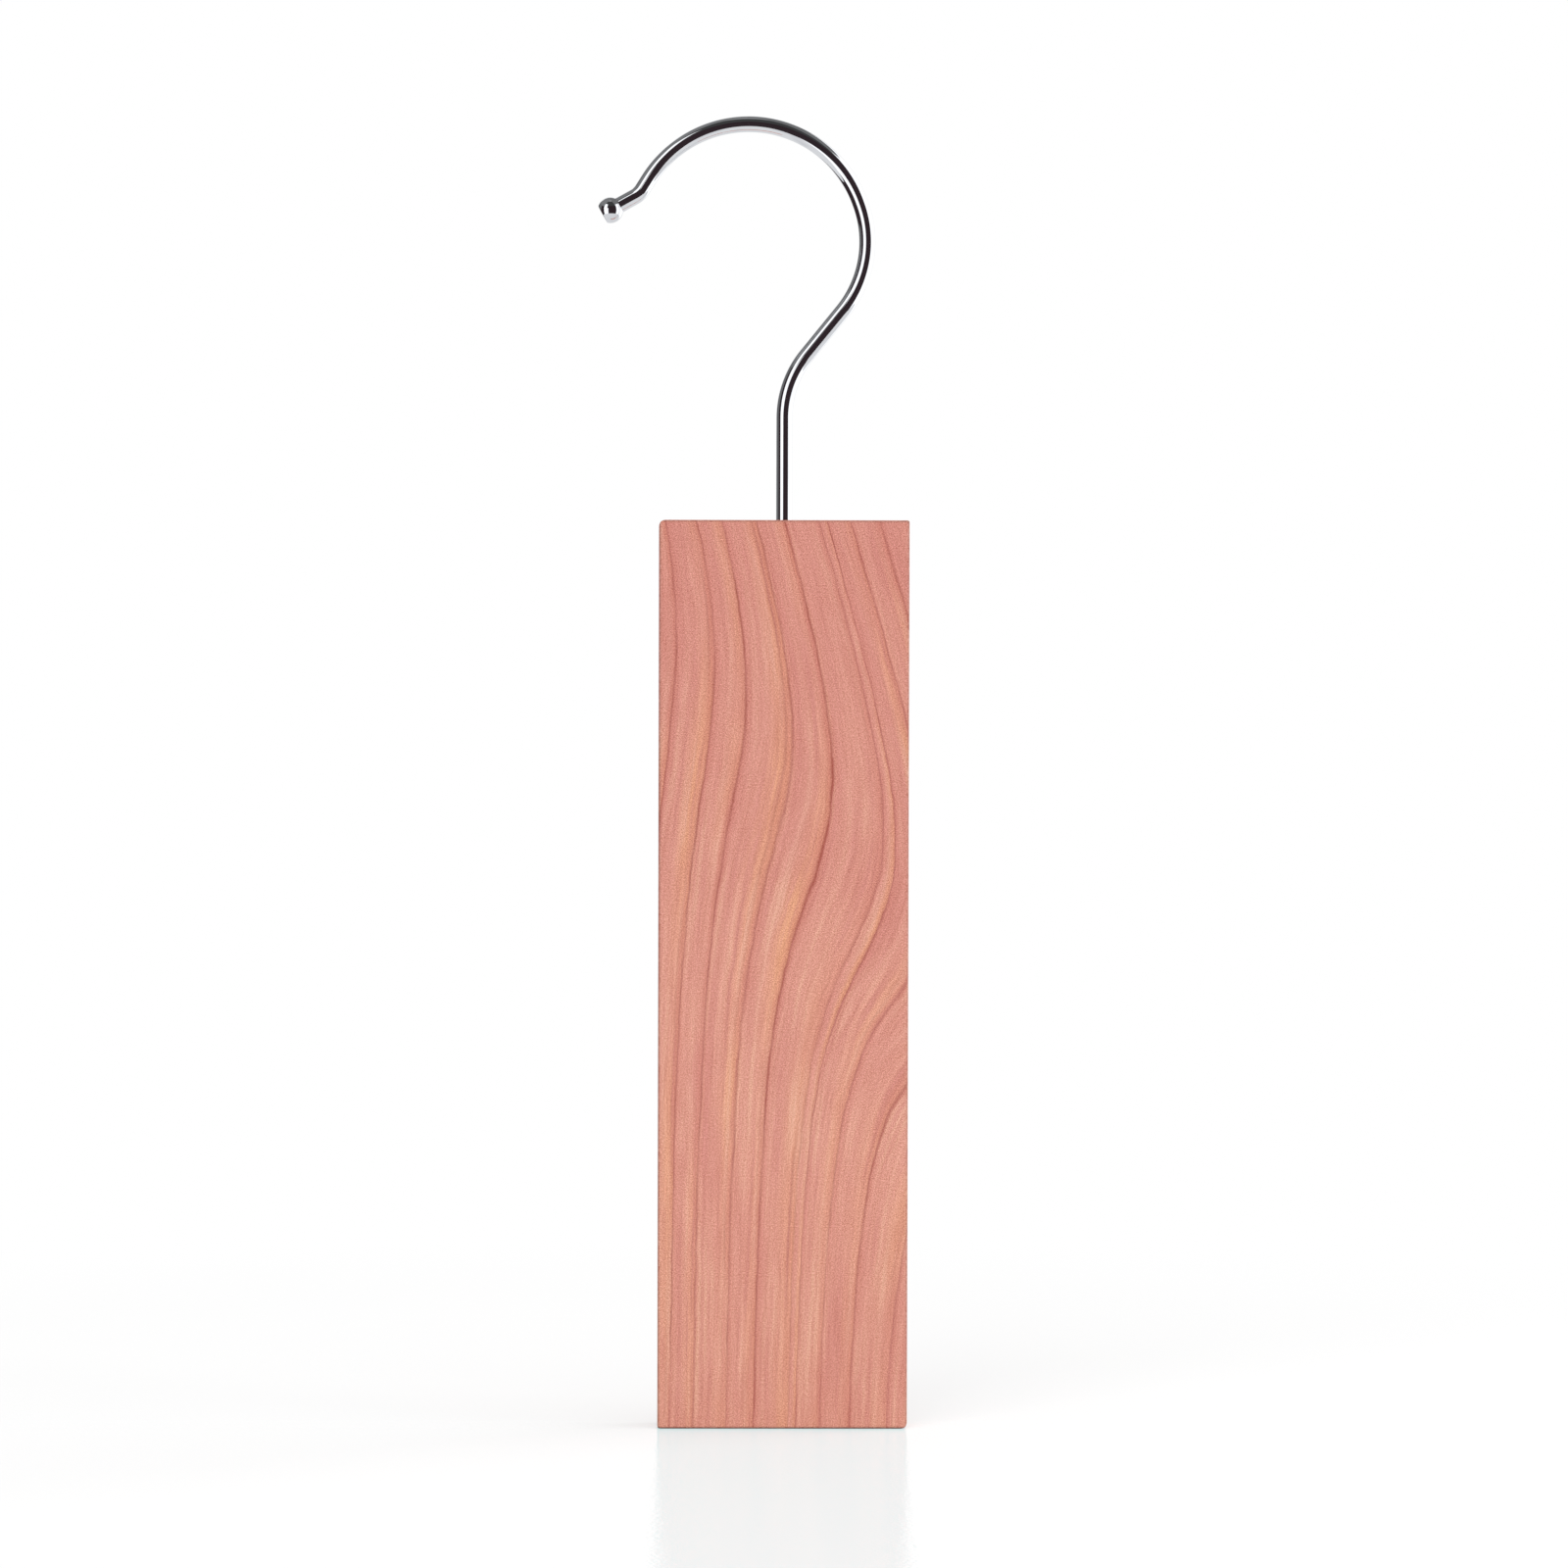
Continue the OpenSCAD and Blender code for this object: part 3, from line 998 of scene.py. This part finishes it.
def table_material(sizes):
    """A white table that keeps the block's soft shadow and a faint mirror image, and is plain white at its rim."""
    material, graph = new_material("white_table")
    x, y, _ = graph.object_place()
    rim = sizes.table_radius / MM
    from_middle = graph.maths("SQRT", x * x + y * y)
    far = graph.ramp(from_middle, rim * WHITE_START, rim * WHITE_FULL, "SMOOTHSTEP")
    glow = graph.node("ShaderNodeEmission", None, {"Strength": sizes.table_glow})
    lit = graph.node("ShaderNodeBsdfDiffuse", None, {"Color": (*[sizes.table_shade] * 3, 1)})
    near = graph.node("ShaderNodeAddShader", None, {0: glow, 1: lit})
    peel = graph.noise(ORANGE_PEEL, x, y, 0.0)
    bump = graph.node("ShaderNodeBump", None, {"Height": peel, "Distance": MM})
    behind = graph.ramp(y, BOARD_LOW.y / MM, BOARD_HIGH.y / MM)
    front = tinted_mirror(graph, sizes.table_mirror, bump)
    back = tinted_mirror(graph, sizes.table_mirror_back, bump)
    mirror = graph.node("ShaderNodeMixShader", None, {0: behind, 1: front, 2: back})
    grazing = graph.node("ShaderNodeLayerWeight", None, {"Blend": 0.5}, "Facing") ** GRAZING_POWER
    near = graph.node("ShaderNodeMixShader", None, {0: grazing * sizes.table_gloss, 1: near, 2: mirror})
    white = graph.node("ShaderNodeEmission", None, {"Strength": 1})
    seen = graph.node("ShaderNodeMixShader", None, {0: far, 1: near, 2: white})
    plain = graph.node("ShaderNodeBsdfDiffuse", None, {"Color": (*[TABLE_BOUNCE] * 3, 1)})
    ray = graph.node("ShaderNodeLightPath", None, None, "Is Camera Ray")
    mirrored = graph.node("ShaderNodeEmission", None, {"Strength": sizes.table_mirrored})
    other = graph.node("ShaderNodeMixShader", None, {0: ray.out("Is Glossy Ray"), 1: plain, 2: mirrored})
    shader = graph.node("ShaderNodeMixShader", None, {0: ray, 1: other, 2: seen})
    graph.node("ShaderNodeOutputMaterial", None, {"Surface": shader})
    return material


def make_table(sizes):
    """The round white table that the block stands on."""
    disc = bmesh.new()
    bmesh.ops.create_circle(disc, cap_ends=True, radius=sizes.table_radius, segments=TABLE_SIDES)
    mesh = bpy.data.meshes.new("table")
    disc.to_mesh(mesh)
    disc.free()
    mesh.materials.append(table_material(sizes))
    table = new_object("table", mesh)
    table.location.z = -TABLE_DROP


def around(azimuth, elevation, distance, middle):
    """The point at that distance from the middle. Azimuth is to the right of the front, seen from the front."""
    flat = distance * math.cos(elevation)
    return middle + Vector(
        (math.sin(azimuth) * flat, -math.cos(azimuth) * flat, distance * math.sin(elevation))
    )


def add_lamp(name, azimuth, elevation, size, power):
    """A wide soft lamp of that width and height, which faces the block and which mirrors don't see."""
    middle = Vector((0, 0, (BOARD_LOW.z + BOARD_HIGH.z) / 2))
    data = bpy.data.lights.new(name, "AREA")
    data.shape = "RECTANGLE"
    data.size, data.size_y = size
    data.energy = power
    lamp = new_object(name, data)
    lamp.location = around(math.radians(azimuth), math.radians(elevation), LAMP_DISTANCE, middle)
    lamp.rotation_euler = (middle - lamp.location).to_track_quat("-Z", "Y").to_euler()
    lamp.visible_glossy = False
    lamp.visible_camera = False


def add_camera(sizes):
    """The camera, far off and nearly as high as the top of the block."""
    data = bpy.data.cameras.new("camera")
    data.sensor_width = SENSOR_WIDTH
    data.lens = sizes.lens
    data.clip_end = CLIP_END
    camera = new_object("camera", data)
    level = around(sizes.azimuth, 0, sizes.distance, Vector((0, 0, sizes.height)))
    aim = Vector((sizes.aside, 0, sizes.aim))
    camera.location = level
    upright = (aim - level).to_track_quat("-Z", "Y").to_matrix()
    camera.rotation_euler = (upright @ Matrix.Rotation(sizes.roll, 3, "Z")).to_euler()
    bpy.context.scene.camera = camera


def make_studio(sizes):
    """The table, the lamps, the world and the camera."""
    make_table(sizes)
    for name, azimuth, elevation, size, power in LAMPS:
        add_lamp(name, azimuth, elevation, size, getattr(sizes, power))
    light_world(sizes)
    add_camera(sizes)
    bpy.context.scene.view_settings.view_transform = "Standard"


# Operators and panel

class HANGER_OT_studio(bpy.types.Operator):
    """Make the white table, the lamps and the camera"""

    bl_idname = "hanger.studio"
    bl_label = "Studio"

    def execute(self, context):
        make_studio(context.scene.hanger_studio)
        return {"FINISHED"}


class HANGER_OT_board(bpy.types.Operator):
    """Make the cedar board in place of the CAD block"""

    bl_idname = "hanger.board"
    bl_label = "Cedar board"

    def execute(self, context):
        make_board(context.scene.hanger_board, context.scene.hanger_cedar)
        return {"FINISHED"}


class HANGER_OT_sleeve(bpy.types.Operator):
    """Give the swivel sleeve its plated steel"""

    bl_idname = "hanger.sleeve"
    bl_label = "Swivel sleeve"

    def execute(self, context):
        dress_sleeve(context.scene.hanger_steel)
        return {"FINISHED"}


class HANGER_OT_hook(bpy.types.Operator):
    """Make the chromed wire hook in place of the CAD hook"""

    bl_idname = "hanger.hook"
    bl_label = "Wire hook"

    def execute(self, context):
        make_hook(context.scene.hanger_hook, context.scene.hanger_chrome)
        return {"FINISHED"}


SETTINGS = {
    "hanger_board": BoardSizes,
    "hanger_cedar": CedarLook,
    "hanger_steel": SteelLook,
    "hanger_hook": HookSizes,
    "hanger_chrome": ChromeLook,
    "hanger_studio": StudioSizes,
}
OPERATORS = (HANGER_OT_studio, HANGER_OT_board, HANGER_OT_sleeve, HANGER_OT_hook)


class HANGER_PT_sidebar(bpy.types.Panel):
    """Lists the pieces of the hanger block and their settings"""

    bl_label = "Hanger block"
    bl_idname = "HANGER_PT_sidebar"
    bl_space_type = "VIEW_3D"
    bl_region_type = "UI"
    bl_category = "Hanger block"

    def draw(self, context):
        for operator in OPERATORS:
            self.layout.operator(operator.bl_idname)
        for name in SETTINGS:
            group = getattr(context.scene, name)
            box = self.layout.box()
            box.label(text=group.bl_rna.name)
            for prop in group.bl_rna.properties:
                if prop.identifier not in ("rna_type", "name"):
                    box.prop(group, prop.identifier)


CLASSES = (*SETTINGS.values(), *OPERATORS, HANGER_PT_sidebar)


def register():
    """Adds the classes, and the settings to the scene."""
    for kind in CLASSES:
        bpy.utils.register_class(kind)
    for name, kind in SETTINGS.items():
        setattr(bpy.types.Scene, name, PointerProperty(type=kind))


def unregister():
    """Takes the settings and the classes away again."""
    for name in SETTINGS:
        delattr(bpy.types.Scene, name)
    for kind in reversed(CLASSES):
        bpy.utils.unregister_class(kind)


def main():
    """Makes the studio and every piece."""
    register()
    bpy.ops.hanger.studio()
    bpy.ops.hanger.board()
    bpy.ops.hanger.sleeve()
    bpy.ops.hanger.hook()


if __name__ == "__main__":
    main()
